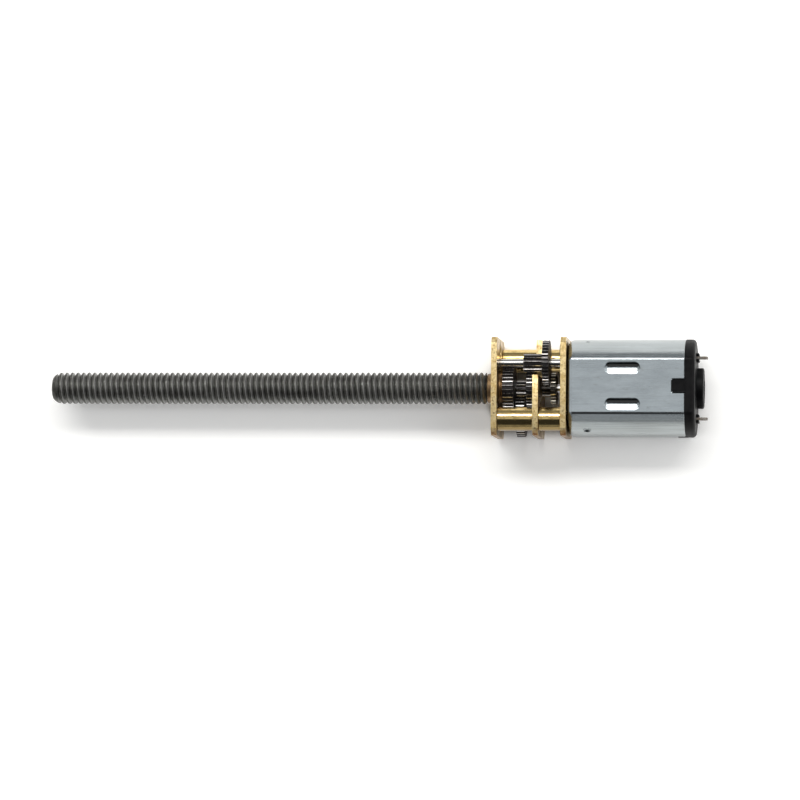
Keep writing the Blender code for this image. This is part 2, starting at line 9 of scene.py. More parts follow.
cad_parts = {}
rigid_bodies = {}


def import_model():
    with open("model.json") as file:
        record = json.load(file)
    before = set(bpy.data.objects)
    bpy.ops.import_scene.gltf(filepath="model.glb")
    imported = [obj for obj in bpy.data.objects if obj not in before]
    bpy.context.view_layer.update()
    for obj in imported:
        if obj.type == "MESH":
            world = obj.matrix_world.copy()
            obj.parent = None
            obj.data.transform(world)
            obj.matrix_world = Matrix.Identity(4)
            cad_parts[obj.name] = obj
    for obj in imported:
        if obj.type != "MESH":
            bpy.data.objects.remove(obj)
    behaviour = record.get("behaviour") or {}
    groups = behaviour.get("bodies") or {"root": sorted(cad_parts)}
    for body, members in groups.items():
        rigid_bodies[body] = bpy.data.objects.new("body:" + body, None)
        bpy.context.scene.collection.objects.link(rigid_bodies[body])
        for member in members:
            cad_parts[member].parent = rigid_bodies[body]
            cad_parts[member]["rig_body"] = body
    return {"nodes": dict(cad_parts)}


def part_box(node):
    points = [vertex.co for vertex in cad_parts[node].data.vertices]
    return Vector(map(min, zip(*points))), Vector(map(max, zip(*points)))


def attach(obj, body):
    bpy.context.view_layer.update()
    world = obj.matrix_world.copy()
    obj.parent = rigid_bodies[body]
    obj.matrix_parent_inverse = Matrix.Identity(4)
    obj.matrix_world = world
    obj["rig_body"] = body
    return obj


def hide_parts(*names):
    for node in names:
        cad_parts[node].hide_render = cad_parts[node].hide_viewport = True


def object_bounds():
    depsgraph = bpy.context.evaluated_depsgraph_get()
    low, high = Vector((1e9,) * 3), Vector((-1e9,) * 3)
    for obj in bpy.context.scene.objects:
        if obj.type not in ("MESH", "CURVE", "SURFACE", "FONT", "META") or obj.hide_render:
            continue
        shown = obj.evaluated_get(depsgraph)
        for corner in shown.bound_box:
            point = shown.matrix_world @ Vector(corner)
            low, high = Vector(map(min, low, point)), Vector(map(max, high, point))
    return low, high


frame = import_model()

MM = 0.001
CAD_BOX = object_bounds()
PLATE_LOW, PLATE_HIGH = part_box("front_plate")
ORIGIN = Vector((PLATE_LOW.x, (PLATE_LOW.y + PLATE_HIGH.y) / 2, (PLATE_LOW.z + PLATE_HIGH.z) / 2))
FLOOR_Z = CAD_BOX[0].z

# Shape of the sheet parts and of the motor's section
HALF_WIDTH, HALF_HEIGHT = 6, 5
PLATE_CORNER = 0.75
HOLE_PLACES = (4.5, -4.5)
HOLE_RADIUS = 0.8
NOTCH_Y, NOTCH_Z, NOTCH_FILLET = 1.35, -0.5, 0.5
CAN_FILLET = 0.6
CAN_WALL = 0.5
FRONT_BEND = 0.85
POCKET_X, POCKET_Y = 16.0, 2.2
POCKET_LENGTH = 4.35
TAB_HALF = 0.8
TAB_START, TAB_DEPTH, KEY_BEHIND = 22.0, 0.75, 0.5
DIMPLE_X = 11.6

# Gears
MODULE = 0.15
PRESSURE_ANGLE = math.radians(20)
DEDENDUM = 1.25
THINNING = 0.03

# Thread: each point is a share of the pitch and the depth under the crest there
PITCH = 0.7
THREAD_CREST, THREAD_ROOT = 1.948, 1.54
TIP_LENGTH, TIP_DROP = 1.35, 0.92
THREAD_STEPS = 54
THREAD_SHAPE = ((-0.1, 0.0), (0.1, 0.0), (0.19, 0.04), (0.26, 0.11), (0.43, 0.31), (0.5, 0.34),
                (0.57, 0.31), (0.74, 0.11), (0.81, 0.04))

# Camera, in the same millimetres
CAMERA_PLACE = (49.9, -34.8, 501.2)
CAMERA_TURNS = (-3.78, -7.01, -0.52)
CAMERA_PIXELS = 4109.0
FRAME_PIXELS = 800.0
SENSOR = 36.0

# Studio: how bright the room is towards -y through overhead to +y, and the softboxes
ROOM_TONES = ((-1.0, 0.44), (-0.93, 0.38), (-0.86, 0.04), (-0.3, 0.03), (-0.12, 0.06), (-0.02, 0.72),
              (0.14, 0.72), (0.3, 0.26), (0.6, 0.4), (0.82, 0.42), (0.95, 0.28), (1.0, 0.26))
SIDE_TONE = 0.34
SIDE_BLEND = (0.35, 0.6)
LIGHTS = (("key_softbox", (0.0, 0.56, 0.83), 1.1, (1.6, 0.3), 12.0, (1.0, 0.99, 0.97)),
          ("right_softbox", (0.75, 0.12, 0.62), 1.1, (0.7, 0.7), 2.8, (1.0, 1.0, 1.0)),
          ("left_softbox", (-0.75, 0.12, 0.62), 1.1, (0.7, 0.7), 0.7, (0.97, 0.99, 1.0)))
# Painted light: how strongly the floor glows from within as fill.
TABLE_GLOW = 0.27
FLOOR_REACH, FLOOR_STEPS, FLOOR_GAP = 4.0, 64, 0.00002


def local(node):
    """The lowest and highest corner of a CAD node, in millimetres from the front plate."""
    low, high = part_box(node)
    return (low - ORIGIN) / MM, (high - ORIGIN) / MM


def along(node):
    low, high = local(node)
    return low.x, high.x


def place(node):
    low, high = local(node)
    return (low.y + high.y) / 2, (low.z + high.z) / 2


def radius_of(node):
    low, high = local(node)
    return (high.z - low.z) / 2


# ---------------------------------------------------------------- outlines in the y-z plane
def circle(radius, steps, centre=(0, 0)):
    turns = [2 * math.pi * i / steps for i in range(steps)]
    return [(centre[0] + radius * math.cos(a), centre[1] + radius * math.sin(a)) for a in turns]


def double_d(inset=0.0, arc_steps=28, fillet_steps=5):
    """Two arcs at +y and -y and two flats at +z and -z, with rounded edges between them."""
    radius, half, fillet = HALF_WIDTH - inset, HALF_HEIGHT - inset, CAN_FILLET
    centre_y = math.sqrt((radius - fillet) ** 2 - (half - fillet) ** 2)
    meet = math.atan2(half - fillet, centre_y)
    quarter = []
    for i in range(fillet_steps):
        a = math.pi / 2 + (meet - math.pi / 2) * i / fillet_steps
        quarter.append((centre_y + fillet * math.cos(a), half - fillet + fillet * math.sin(a)))
    arc = [meet * (1 - 2 * i / arc_steps) for i in range(arc_steps + 1)]
    right = quarter + [(radius * math.cos(a), radius * math.sin(a)) for a in arc]
    right += [(y, -z) for y, z in reversed(quarter)]
    return [(y, z) for y, z in reversed(right)] + [(-y, -z) for y, z in reversed(right)]


def rounded(points, radius, steps=4):
    """A polygon of (y, z) points with its corners rounded."""
    made = []
    for i, corner in enumerate(points):
        here = Vector(corner)
        before, after = Vector(points[i - 1]) - here, Vector(points[(i + 1) % len(points)]) - here
        angle = before.angle(after)
        reach = min(radius / math.tan(angle / 2), before.length * 0.45, after.length * 0.45)
        a, b = here + before.normalized() * reach, here + after.normalized() * reach
        for k in range(steps + 1):
            t = k / steps
            made.append(tuple(a * (1 - t) ** 2 + here * 2 * t * (1 - t) + b * t ** 2))
    return made


def plate_outline():
    y, z, c = HALF_WIDTH, HALF_HEIGHT, PLATE_CORNER
    half = [(y, z - c), (y - c, z), (-y + c, z), (-y, z - c)]
    return rounded(half + [(-a, -b) for a, b in half], 0.12, 3)


def notched_outline():
    y, z, c = HALF_WIDTH, HALF_HEIGHT, PLATE_CORNER
    centre = (NOTCH_Y + NOTCH_FILLET, NOTCH_Z + NOTCH_FILLET)
    turns = [math.radians(270 - 90 * i / 8) for i in range(9)]
    fillet = [(centre[0] + NOTCH_FILLET * math.cos(a), centre[1] + NOTCH_FILLET * math.sin(a)) for a in turns]
    return [(y, -z + c), (y, NOTCH_Z)] + fillet + [
        (NOTCH_Y, z), (-y + c, z), (-y, z - c), (-y, -z + c), (-y + c, -z), (y - c, -z)]


def involute(angle):
    return math.tan(angle) - angle


def gear_outline(teeth, addendum, phase=0.0, trim=0.0):
    """A spur gear with a tooth at the phase angle. Trim takes that much off its tips."""
    pitch_radius = MODULE * teeth / 2
    base = pitch_radius * math.cos(PRESSURE_ANGLE)
    half_tooth = math.pi / (2 * teeth) - THINNING / (2 * pitch_radius)
    root, tip = pitch_radius - DEDENDUM * MODULE, pitch_radius + addendum * MODULE - trim

    def half_angle(radius):
        flank = involute(math.acos(min(1, base / radius)))
        return half_tooth + involute(PRESSURE_ANGLE) - flank

    steps = 5
    radii = [root + (tip - root) * i / steps for i in range(steps + 1)]
    side = [(radius, half_angle(radius)) for radius in radii]
    side[0] = (root, (side[0][1] + math.pi / teeth) / 2 if teeth < 20 else side[0][1] * 1.08)
    points = []
    for tooth in range(teeth):
        middle = phase + 2 * math.pi * tooth / teeth
        points += [(radius * math.cos(middle - half), radius * math.sin(middle - half))
                   for radius, half in side]
        points += [(radius * math.cos(middle + half), radius * math.sin(middle + half))
                   for radius, half in reversed(side)]
    return points


def stadium(length, width, centre, steps=12):
    radius, half = width / 2, (length - width) / 2
    end = [math.radians(180 * i / steps - 90) for i in range(steps + 1)]
    right = [(half + radius * math.cos(a), radius * math.sin(a)) for a in end]
    return [(centre[0] + x, centre[1] + y) for x, y in right + [(-x, -y) for x, y in right]]


# ---------------------------------------------------------------- meshes
def ring(mesh, outline, x):
    return [mesh.verts.new((x, y, z)) for y, z in outline]


def skin(mesh, *rings):
    for first, second in zip(rings, rings[1:]):
        for i in range(len(first)):
            mesh.faces.new((first[i - 1], first[i], second[i], second[i - 1]))


def lid(mesh, *rings):
    """A flat face in y and z bounded by the first ring, with a hole at each of the others."""
    points = [vert for loop in rings for vert in loop]
    flat = [[Vector((0, vert.co.y, vert.co.z)) for vert in loop] for loop in rings]
    for triangle in tessellate_polygon(flat):
        mesh.faces.new([points[i] for i in triangle])


def prism(outline, start, end, holes=()):
    mesh = bmesh.new()
    fronts = [ring(mesh, loop, start) for loop in (outline, *holes)]
    backs = [ring(mesh, loop, end) for loop in (outline, *holes)]
    for front, back in zip(fronts, backs):
        skin(mesh, front, back)
    lid(mesh, *fronts)
    lid(mesh, *backs)
    bmesh.ops.dissolve_limit(mesh, angle_limit=0.0005, verts=mesh.verts, edges=mesh.edges)
    return mesh


def turned(profile, steps=72, centre=(0, 0), mesh=None):
    """A solid turned about the x axis from (x, radius) points."""
    mesh = mesh or bmesh.new()
    rings = [ring(mesh, circle(radius, steps, centre), x) for x, radius in profile]
    skin(mesh, *rings)
    mesh.faces.new(rings[0])
    mesh.faces.new(rings[-1])
    return mesh


def sleeve(profile, steps=72, centre=(0, 0)):
    mesh = bmesh.new()
    rings = [ring(mesh, circle(radius, steps, centre), x) for x, radius in profile]
    skin(mesh, *rings, rings[0])
    return mesh


def eased(profile, edge):
    """A turned profile with its square corners broken by small chamfers."""
    made = [profile[0]]
    for before, here, after in zip(profile, profile[1:], profile[2:]):
        for other in (before, after):
            gap = Vector(other) - Vector(here)
            step = gap.normalized() * min(edge, gap.length * 0.4)
            made.append((here[0] + step.x, here[1] + step.y))
    return made + [profile[-1]]


def offset(mesh, centre):
    bmesh.ops.translate(mesh, vec=(0, *centre), verts=mesh.verts)
    return mesh


def to_data(mesh, name):
    bmesh.ops.recalc_face_normals(mesh, faces=mesh.faces)
    mesh.transform(Matrix.Translation(ORIGIN) @ Matrix.Scale(MM, 4))
    data = bpy.data.meshes.new(name)
    mesh.to_mesh(data)
    mesh.free()
    return data


def link(name, data):
    made = bpy.data.objects.new(name, data)
    bpy.context.scene.collection.objects.link(made)
    return made


def piece(name, mesh, materials, nodes, bevel=0.0, segments=2, sharp=32):
    """A shown piece that stands for CAD nodes and rides on their body."""
    nodes = [nodes] if isinstance(nodes, str) else nodes
    made = link(name, to_data(mesh, name) if isinstance(mesh, bmesh.types.BMesh) else mesh)
    for material in materials if isinstance(materials, (list, tuple)) else [materials]:
        made.data.materials.append(material)
    made.data.shade_smooth()
    made.data.set_sharp_from_angle(angle=math.radians(sharp))
    if bevel:
        soft = made.modifiers.new("soft_edges", "BEVEL")
        soft.width = bevel * MM
        soft.segments = segments
        soft.limit_method = "ANGLE"
        soft.angle_limit = math.radians(sharp)
        soft.harden_normals = True
        soft.use_clamp_overlap = True
    else:
        weighted = made.modifiers.new("flat_shading", "WEIGHTED_NORMAL")
        weighted.keep_sharp = True
    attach(made, frame["nodes"][nodes[0]]["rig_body"])
    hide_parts(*nodes)
    return made


def cut(target, *tools):
    """Cut closed meshes out of a target mesh and return the result."""
    work = link("work", target)
    helpers = []
    for i, tool in enumerate(tools):
        helper = link(f"tool_{i}", tool)
        helpers.append(helper)
        modifier = work.modifiers.new(f"cut_{i}", "BOOLEAN")
        modifier.operation = "DIFFERENCE"
        modifier.solver = "EXACT"
        modifier.object = helper
    graph = bpy.context.evaluated_depsgraph_get()
    result = bpy.data.meshes.new_from_object(work.evaluated_get(graph))
    for helper in helpers + [work]:
        bpy.data.objects.remove(helper)
    return result


# ---------------------------------------------------------------- materials
class Nodes:
    """A material's node tree, written from the texture coordinates to the shader."""

    def __init__(self, name, metallic, roughness, colour):
        self.material = bpy.data.materials.new(name)
        self.material.use_nodes = True
        self.tree = self.material.node_tree
        self.shader = self.tree.nodes["Principled BSDF"]
        self.shader.inputs["Metallic"].default_value = metallic
        self.shader.inputs["Roughness"].default_value = roughness
        self.shader.inputs["Base Color"].default_value = (*colour, 1)
        self.coordinates = self.tree.nodes.new("ShaderNodeTexCoord").outputs["Object"]

    def plug(self, source, target):
        self.tree.links.new(source, target)

    def mapped(self, scale=(1, 1, 1), start=(0, 0, 0)):
        """Object coordinates in millimetres, stretched by scale."""
        node = self.tree.nodes.new("ShaderNodeMapping")
        node.inputs["Location"].default_value = start
        node.inputs["Scale"].default_value = [s / MM for s in scale]
        self.plug(self.coordinates, node.inputs["Vector"])
        return node.outputs["Vector"]

    def noise(self, scale, detail=3.0, rough=0.55, start=(0, 0, 0), distortion=0.0):
        node = self.tree.nodes.new("ShaderNodeTexNoise")
        node.inputs["Scale"].default_value = 1.0
        node.inputs["Detail"].default_value = detail
        node.inputs["Roughness"].default_value = rough
        node.inputs["Distortion"].default_value = distortion
        self.plug(self.mapped(scale, start), node.inputs["Vector"])
        return node.outputs["Fac"]

    def pits(self, scale):
        node = self.tree.nodes.new("ShaderNodeTexVoronoi")
        node.inputs["Scale"].default_value = 1.0
        self.plug(self.mapped(scale), node.inputs["Vector"])
        return node.outputs["Distance"]

    def ramp(self, source, low, high, to_low=0.0, to_high=1.0, smooth=True):
        node = self.tree.nodes.new("ShaderNodeMapRange")
        node.interpolation_type = "SMOOTHSTEP" if smooth else "LINEAR"
        for key, value in (("From Min", low), ("From Max", high), ("To Min", to_low), ("To Max", to_high)):
            node.inputs[key].default_value = value
        self.plug(source, node.inputs["Value"])
        return node.outputs["Result"]

    def maths(self, operation, a, b):
        node = self.tree.nodes.new("ShaderNodeMath")
        node.operation = operation
        for socket, value in zip(node.inputs, (a, b)):
            if isinstance(value, (int, float)):
                socket.default_value = value
            else:
                self.plug(value, socket)
        return node.outputs[0]

    def mix(self, share, first, second):
        node = self.tree.nodes.new("ShaderNodeMix")
        node.data_type = "RGBA"
        self.plug(share, node.inputs[0])
        for socket, value in ((node.inputs[6], first), (node.inputs[7], second)):
            if isinstance(value, tuple):
                socket.default_value = (*value, 1)
            else:
                self.plug(value, socket)
        return node.outputs[2]

    def colour(self, source):
        self.plug(source, self.shader.inputs["Base Color"])

    def roughness(self, source):
        self.plug(source, self.shader.inputs["Roughness"])

    def bump(self, source, height, previous=None):
        """Height is the bump's full depth, in millimetres."""
        node = self.tree.nodes.new("ShaderNodeBump")
        node.inputs["Strength"].default_value = 1.0
        node.inputs["Distance"].default_value = height * MM
        self.plug(source, node.inputs["Height"])
        if previous is not None:
            self.plug(previous, node.inputs["Normal"])
        self.plug(node.outputs["Normal"], self.shader.inputs["Normal"])
        return node.outputs["Normal"]

    def facing(self, axis):
        """How far the surface faces along an axis, from -1 to 1."""
        split = self.tree.nodes.new("ShaderNodeSeparateXYZ")
        self.plug(self.tree.nodes.new("ShaderNodeNewGeometry").outputs["Normal"], split.inputs[0])
        return split.outputs[axis]

    def height_over(self, axis):
        """A coordinate from the middle of the front plate, in millimetres."""
        split = self.tree.nodes.new("ShaderNodeSeparateXYZ")
        self.plug(self.coordinates, split.inputs[0])
        share = self.maths("MULTIPLY", split.outputs[axis], 1 / MM)
        return self.maths("SUBTRACT", share, ORIGIN["XYZ".index(axis)] / MM)

    def distance_from(self, centre):
        """Distance from an axis along x through a (y, z) place, in millimetres."""
        shift = self.tree.nodes.new("ShaderNodeVectorMath")
        shift.operation = "MULTIPLY_ADD"
        self.plug(self.coordinates, shift.inputs[0])
        shift.inputs[1].default_value = (0, 1 / MM, 1 / MM)
        shift.inputs[2].default_value = (0, -ORIGIN.y / MM - centre[0], -ORIGIN.z / MM - centre[1])
        length = self.tree.nodes.new("ShaderNodeVectorMath")
        length.operation = "LENGTH"
        self.plug(shift.outputs[0], length.inputs[0])
        return length.outputs["Value"]


def brass_sheared(name, tint, deep):
    """The cut edge of brass sheet: pale, with torn streaks and stains, and painted shade that darkens its
    lower edge to brown.
    """
    made = Nodes(name, 1.0, 0.4, tint)
    patches = made.noise((1.1, 1.3, 1.1), 4.0, 0.6)
    streaks = made.noise((9, 1.4, 1.4), 3.0, 0.6, (3, 1, 7))
    shade = made.mix(made.ramp(patches, 0.4, 0.66), tint, deep)
    torn = made.mix(made.ramp(streaks, 0.56, 0.66, 0.0, 0.7), shade, (0.4, 0.27, 0.11))
    spots = made.noise((2.6, 2.6, 2.6), 4.0, 0.65, (5, 2, 8))
    # Painted shade: the edge towards -y is turned dark brown, in place of the shade it would reflect from the
    # table.
    lower_edge_shade = made.ramp(made.height_over("Y"), -5.85, -5.0, 1.0, 0.0)
    stained = made.mix(made.ramp(spots, 0.53, 0.64, 0.0, 0.85), torn, (0.32, 0.2, 0.085))
    # The brown mixed in here is that painted shade, broken up by the spots.
    brown = made.maths("MULTIPLY", lower_edge_shade, made.ramp(spots, 0.3, 0.6, 0.55, 1))
    made.colour(made.mix(brown, stained, (0.2, 0.1, 0.045)))
    made.roughness(made.ramp(patches, 0.3, 0.7, 0.3, 0.5))
    first = made.bump(streaks, 0.02)
    made.bump(made.noise((14, 14, 14), 2.0, 0.5), 0.006, first)
    return made.material


def brass_rolled(name, tint, deep):
    """The rolled face of brass sheet: darker and warmer than a cut edge, with fine straight rolling lines."""
    made = Nodes(name, 1.0, 0.3, tint)
    cloud = made.noise((0.5, 0.5, 0.5), 4.0, 0.6, (2, 5, 1))
    lines = made.noise((1, 0.5, 16), 2.0, 0.5)
    made.colour(made.mix(made.ramp(cloud, 0.35, 0.7), tint, deep))
    made.roughness(made.ramp(cloud, 0.3, 0.7, 0.2, 0.42))
    made.bump(lines, 0.003)
    return made.material


def brass_turned(name, tint, deep):
    """Bar brass off a lathe: bright, with fine rings, handling marks and painted shade darkening its lower
    side.
    """
    made = Nodes(name, 1.0, 0.2, tint)
    rings = made.noise((26, 0.3, 0.3), 2.0, 0.5)
    marks = made.noise((0.9, 1.6, 1.6), 5.0, 0.65, (4, 0, 2))
    # Painted shade: the lower side, towards -y, is darkened in colour.
    low = made.ramp(made.height_over("Y"), -5.2, -4.45, 0.85, 0.0)
    handled = made.mix(made.ramp(marks, 0.46, 0.66, 0.0, 0.8), tint, deep)
    made.colour(made.mix(low, handled, (0.16, 0.11, 0.045)))
    made.roughness(made.ramp(marks, 0.35, 0.7, 0.1, 0.24))
    made.bump(rings, 0.0025)
    return made.material


def gear_metal(name, place_on_axis, tip_radius, dark, bright):
    """Sintered and cut gear steel: dull purplish faces, with flanks and tips polished by running."""
    made = Nodes(name, 1.0, 0.36, dark)
    reach = made.distance_from(place_on_axis)
    worn = made.ramp(reach, tip_radius - 0.07, tip_radius - 0.01)
    grain = made.noise((7, 7, 7), 4.0, 0.6)
    spots = made.pits((9, 9, 9))
    base = made.mix(made.ramp(grain, 0.38, 0.66), dark, tuple(0.7 * c for c in dark))
    made.colour(made.mix(worn, base, bright))
    made.roughness(made.maths("ADD", made.ramp(worn, 0.0, 1.0, 0.42, 0.24),
                              made.ramp(grain, 0.3, 0.7, -0.06, 0.1)))
    made.bump(made.ramp(spots, 0.0, 0.25), 0.003, made.bump(grain, 0.006))
    return made.material


def screw_metal():
    """Rolled thread: dark and oily, with painted light that makes the flanks facing +x lighter, small nicks
    and black grooves.
    """
    made = Nodes("screw_thread_steel", 1.0, 0.35, (0.2, 0.2, 0.19))
    reach = made.distance_from((0, 0))
    groove = made.ramp(reach, 1.60, 1.70, 1.0, 0.0)
    # Painted light: surfaces that face +x are given a lighter colour.
    flank = made.ramp(made.facing("X"), 0.25, 0.75)
    cloud = made.noise((0.35, 0.8, 0.8), 4.0, 0.6)
    grain = made.noise((8, 8, 8), 3.0, 0.6, (1, 2, 3))
    film = made.mix(made.ramp(cloud, 0.35, 0.68), (0.062, 0.061, 0.056), (0.1, 0.099, 0.092))
    # The thread roots are made darker in colour.
    dark_roots = made.mix(made.maths("MULTIPLY", groove, 0.6), film, (0.02, 0.02, 0.018))
    nicks = made.noise((3.5, 3.5, 3.5), 5.0, 0.7, (4, 4, 0))
    worn = made.mix(made.ramp(nicks, 0.5, 0.68, 0.0, 0.55), dark_roots, (0.26, 0.26, 0.25))
    # lit is that painted light on the +x flanks, broken up by the grain.
    lit = made.maths("MULTIPLY", flank, made.ramp(grain, 0.25, 0.6, 0.4, 1.0))
    made.colour(made.mix(lit, worn, (0.34, 0.34, 0.33)))
    made.roughness(made.maths("ADD", made.ramp(grain, 0.3, 0.7, 0.4, 0.52),
                              made.ramp(cloud, 0.3, 0.7, -0.05, 0.08)))
    made.bump(grain, 0.008)
    return made.material


def plain_steel(name, tint, rough, lines=22):
    """Ground bar steel with fine rings round it."""
    made = Nodes(name, 1.0, rough, tint)
    cloud = made.noise((0.8, 0.8, 0.8), 4.0, 0.6)
    rings = made.noise((lines, 0.6, 0.6), 2.0, 0.5)
    made.colour(made.mix(made.ramp(cloud, 0.35, 0.7), tint, tuple(0.72 * c for c in tint)))
    made.roughness(made.ramp(rings, 0.3, 0.7, rough * 0.7, rough * 1.4))
    made.bump(rings, 0.0025)
    return made.material


def can_metal():
    """Nickel-plated drawn steel: satin, with draw lines and cloud, and painted shade darkening the arcs, the
    pressed slots and the front edge next to the rear plate.
    """
    made = Nodes("can_plated", 1.0, 0.32, (0.6, 0.64, 0.65))
    cloud = made.noise((0.16, 0.5, 0.5), 4.0, 0.6, (2, 0, 5))
    draw = made.noise((0.07, 6.5, 6.5), 3.0, 0.6)
    grain = made.noise((11, 11, 11), 2.0, 0.6)
    marks = made.noise((0.6, 1.7, 1.7), 5.0, 0.7, (9, 4, 1))
    base = made.mix(made.ramp(cloud, 0.35, 0.68), (0.52, 0.57, 0.595), (0.43, 0.475, 0.50))
    handled = made.mix(made.ramp(marks, 0.56, 0.7, 0.0, 0.6), base, (0.38, 0.41, 0.41))
    streak = made.noise((0.1, 3.2, 3.2), 4.0, 0.65, (7, 0, 3))
    across, height, length = (made.height_over(axis) for axis in "YZX")
    # Painted shade: both arcs, low towards -y and high towards +y, are darkened in colour in place of a
    # dimmer reflection.
    low = made.maths("MULTIPLY", made.ramp(across, -4.6, -3.4, 1.0, 0.0), made.ramp(streak, 0.3, 0.7, 0.6, 1))
    high = made.maths("MULTIPLY", made.ramp(across, 3.4, 4.4, 0.0, 0.9), made.ramp(streak, 0.3, 0.7, 0.6, 1))
    arcs = made.mix(low, made.mix(high, handled, (0.35, 0.375, 0.38)), (0.28, 0.3, 0.3))
    # Painted shade: the floors and walls of the pressed slots are darkened in colour.
    slot_shade_mask = made.maths("MULTIPLY", made.ramp(made.maths("ABSOLUTE", height, 0), 4.68, 4.75, 1.0, 0.0),
                         made.ramp(made.maths("ABSOLUTE", across, 0), 3.2, 3.3, 1.0, 0.0))
    shaded = made.maths("MULTIPLY", slot_shade_mask, made.ramp(length, 12.0, 12.4))
    # Painted shade: the can's front edge next to the rear plate is darkened in colour, as the shadowed gap.
    front = along("rear_plate")[1]
    gap = made.ramp(length, front + 0.15, front + 0.75, 0.7, 0.0)
    # The slot shade and the front-edge shade both mix in the near black here.
    made.colour(made.mix(made.maths("MAXIMUM", shaded, gap), arcs, (0.06, 0.06, 0.06)))
    made.roughness(made.maths("ADD", made.ramp(cloud, 0.3, 0.7, 0.17, 0.25),
                              made.ramp(draw, 0.3, 0.7, -0.03, 0.05)))
    made.bump(grain, 0.0025, made.bump(draw, 0.004))
    return made.material


def moulded_plastic():
    """Black moulded plastic with a fine spark-eroded grain and a slight sheen on the high spots."""
    made = Nodes("cap_moulded", 0.0, 0.45, (0.012, 0.012, 0.0125))
    grain = made.noise((13, 13, 13), 4.0, 0.65)
    cloud = made.noise((0.9, 0.9, 0.9), 3.0, 0.6)
    made.colour(made.mix(made.ramp(cloud, 0.35, 0.7), (0.0025, 0.0025, 0.003), (0.006, 0.006, 0.0065)))
    made.roughness(made.maths("ADD", made.ramp(cloud, 0.3, 0.7, 0.36, 0.5),
                              made.ramp(grain, 0.4, 0.7, 0.0, 0.1)))
    made.bump(grain, 0.01)
    made.shader.inputs["Specular IOR Level"].default_value = 0.1
    return made.material


def bronze():
    """Oil-filled sintered bronze: brown, porous and half dull."""
    made = Nodes("bronze_sintered", 1.0, 0.42, (0.42, 0.27, 0.13))
    pores = made.pits((7, 7, 7))
    cloud = made.noise((1.2, 1.2, 1.2), 4.0, 0.6)
    base = made.mix(made.ramp(cloud, 0.35, 0.7), (0.27, 0.17, 0.085), (0.15, 0.1, 0.055))
    made.colour(made.mix(made.ramp(pores, 0.05, 0.22, 1.0, 0.0), base, (0.08, 0.05, 0.03)))
    made.roughness(made.ramp(cloud, 0.3, 0.7, 0.32, 0.52))
    made.bump(made.ramp(pores, 0.0, 0.3), 0.008)
    return made.material


def ferrite():
    made = Nodes("magnet_sintered", 0.0, 0.6, (0.05, 0.05, 0.054))
    grain = made.noise((6, 6, 6), 5.0, 0.7)
    made.colour(made.mix(made.ramp(grain, 0.35, 0.7), (0.04, 0.04, 0.044), (0.085, 0.085, 0.09)))
    made.roughness(made.ramp(grain, 0.3, 0.7, 0.5, 0.75))
    made.bump(grain, 0.02)
    return made.material


def laminated():
    """Stacked core sheets, 0.35 mm each, seen edge on."""
    made = Nodes("core_sheets", 1.0, 0.45, (0.35, 0.35, 0.36))
    wave = made.tree.nodes.new("ShaderNodeTexWave")
    wave.bands_direction = "X"
    wave.inputs["Scale"].default_value = 1.0
    made.plug(made.mapped((0.9, 0, 0)), wave.inputs["Vector"])
    grain = made.noise((5, 5, 5), 3.0, 0.6)
    made.colour(made.mix(made.ramp(wave.outputs["Fac"], 0.1, 0.5), (0.12, 0.11, 0.11), (0.38, 0.38, 0.39)))
    made.roughness(made.ramp(grain, 0.3, 0.7, 0.35, 0.55))
    made.bump(wave.outputs["Fac"], 0.03)
    return made.material


def wound_copper():
    """Enamelled wire laid side by side."""
    made = Nodes("winding_wire", 1.0, 0.3, (0.62, 0.24, 0.1))
    wave = made.tree.nodes.new("ShaderNodeTexWave")
    wave.bands_direction = "DIAGONAL"
    wave.inputs["Scale"].default_value = 1.0
    wave.inputs["Distortion"].default_value = 0.6
    made.plug(made.mapped((0.2, 2.2, 2.2)), wave.inputs["Vector"])
    cloud = made.noise((2, 2, 2), 3.0, 0.6)
    wire = made.mix(made.ramp(cloud, 0.35, 0.7), (0.66, 0.26, 0.1), (0.45, 0.15, 0.06))
    made.colour(made.mix(made.ramp(wave.outputs["Fac"], 0.0, 0.3), (0.12, 0.04, 0.02), wire))
    made.roughness(made.ramp(cloud, 0.3, 0.7, 0.22, 0.4))
    made.bump(wave.outputs["Fac"], 0.06)
    return made.material


def sheet_copper():
    made = Nodes("contact_copper", 1.0, 0.3, (0.7, 0.36, 0.18))
    cloud = made.noise((2.5, 2.5, 2.5), 4.0, 0.6)
    lines = made.noise((1.5, 18, 18), 2.0, 0.5)
    made.colour(made.mix(made.ramp(cloud, 0.35, 0.7), (0.74, 0.4, 0.2), (0.46, 0.22, 0.11)))
    made.roughness(made.ramp(cloud, 0.3, 0.7, 0.22, 0.42))
    made.bump(lines, 0.004)
    return made.material


def tinned():
    """A solder-dipped brass strip: dull silver with warm thin places."""
    made = Nodes("terminal_dipped", 1.0, 0.35, (0.55, 0.52, 0.46))
    cloud = made.noise((1.6, 2.4, 2.4), 4.0, 0.6)
    made.colour(made.mix(made.ramp(cloud, 0.35, 0.68), (0.2, 0.188, 0.17), (0.12, 0.1, 0.08)))
    made.roughness(made.ramp(cloud, 0.3, 0.7, 0.25, 0.45))
    made.bump(cloud, 0.03)
    return made.material


